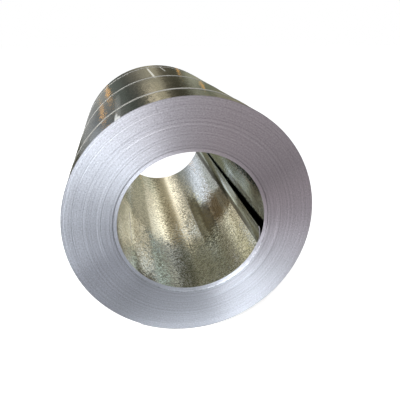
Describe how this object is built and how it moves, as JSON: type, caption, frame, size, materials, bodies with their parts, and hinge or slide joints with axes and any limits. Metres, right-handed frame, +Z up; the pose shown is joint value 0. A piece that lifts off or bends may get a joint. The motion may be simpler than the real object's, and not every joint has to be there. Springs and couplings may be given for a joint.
{
  "type": "steel coil",
  "caption": "Wound coil of galvanised steel strip lying eye-horizontal, with a lifted inner strip end and narrow steel straps closed by folded seals",
  "frame": {"origin": "centre of the footprint, at the lowest point of the coil as it lies on the floor", "axes": "+Z up; the eye and the coil's axis run along Y, with the near end at -Y; X is across the coil"},
  "size_m": [0.8686, 1.2548, 0.8698],
  "materials": {
    "galvanised_strip": "hot-dip galvanised strip with a fine spangle, edges of the laps bare and concentric-grained",
    "strap_steel": "bright zinc-coated strapping",
    "seal_steel": "dull zinc-coated pressed sheet"
  },
  "bodies": {
    "root": {"coil": "galvanised_strip", "strap_front": "strap_steel", "strap_middle": "strap_steel", "strap_back": "strap_steel", "seal_front": "seal_steel", "seal_middle": "seal_steel", "seal_back": "seal_steel"}
  },
  "joints": []
}
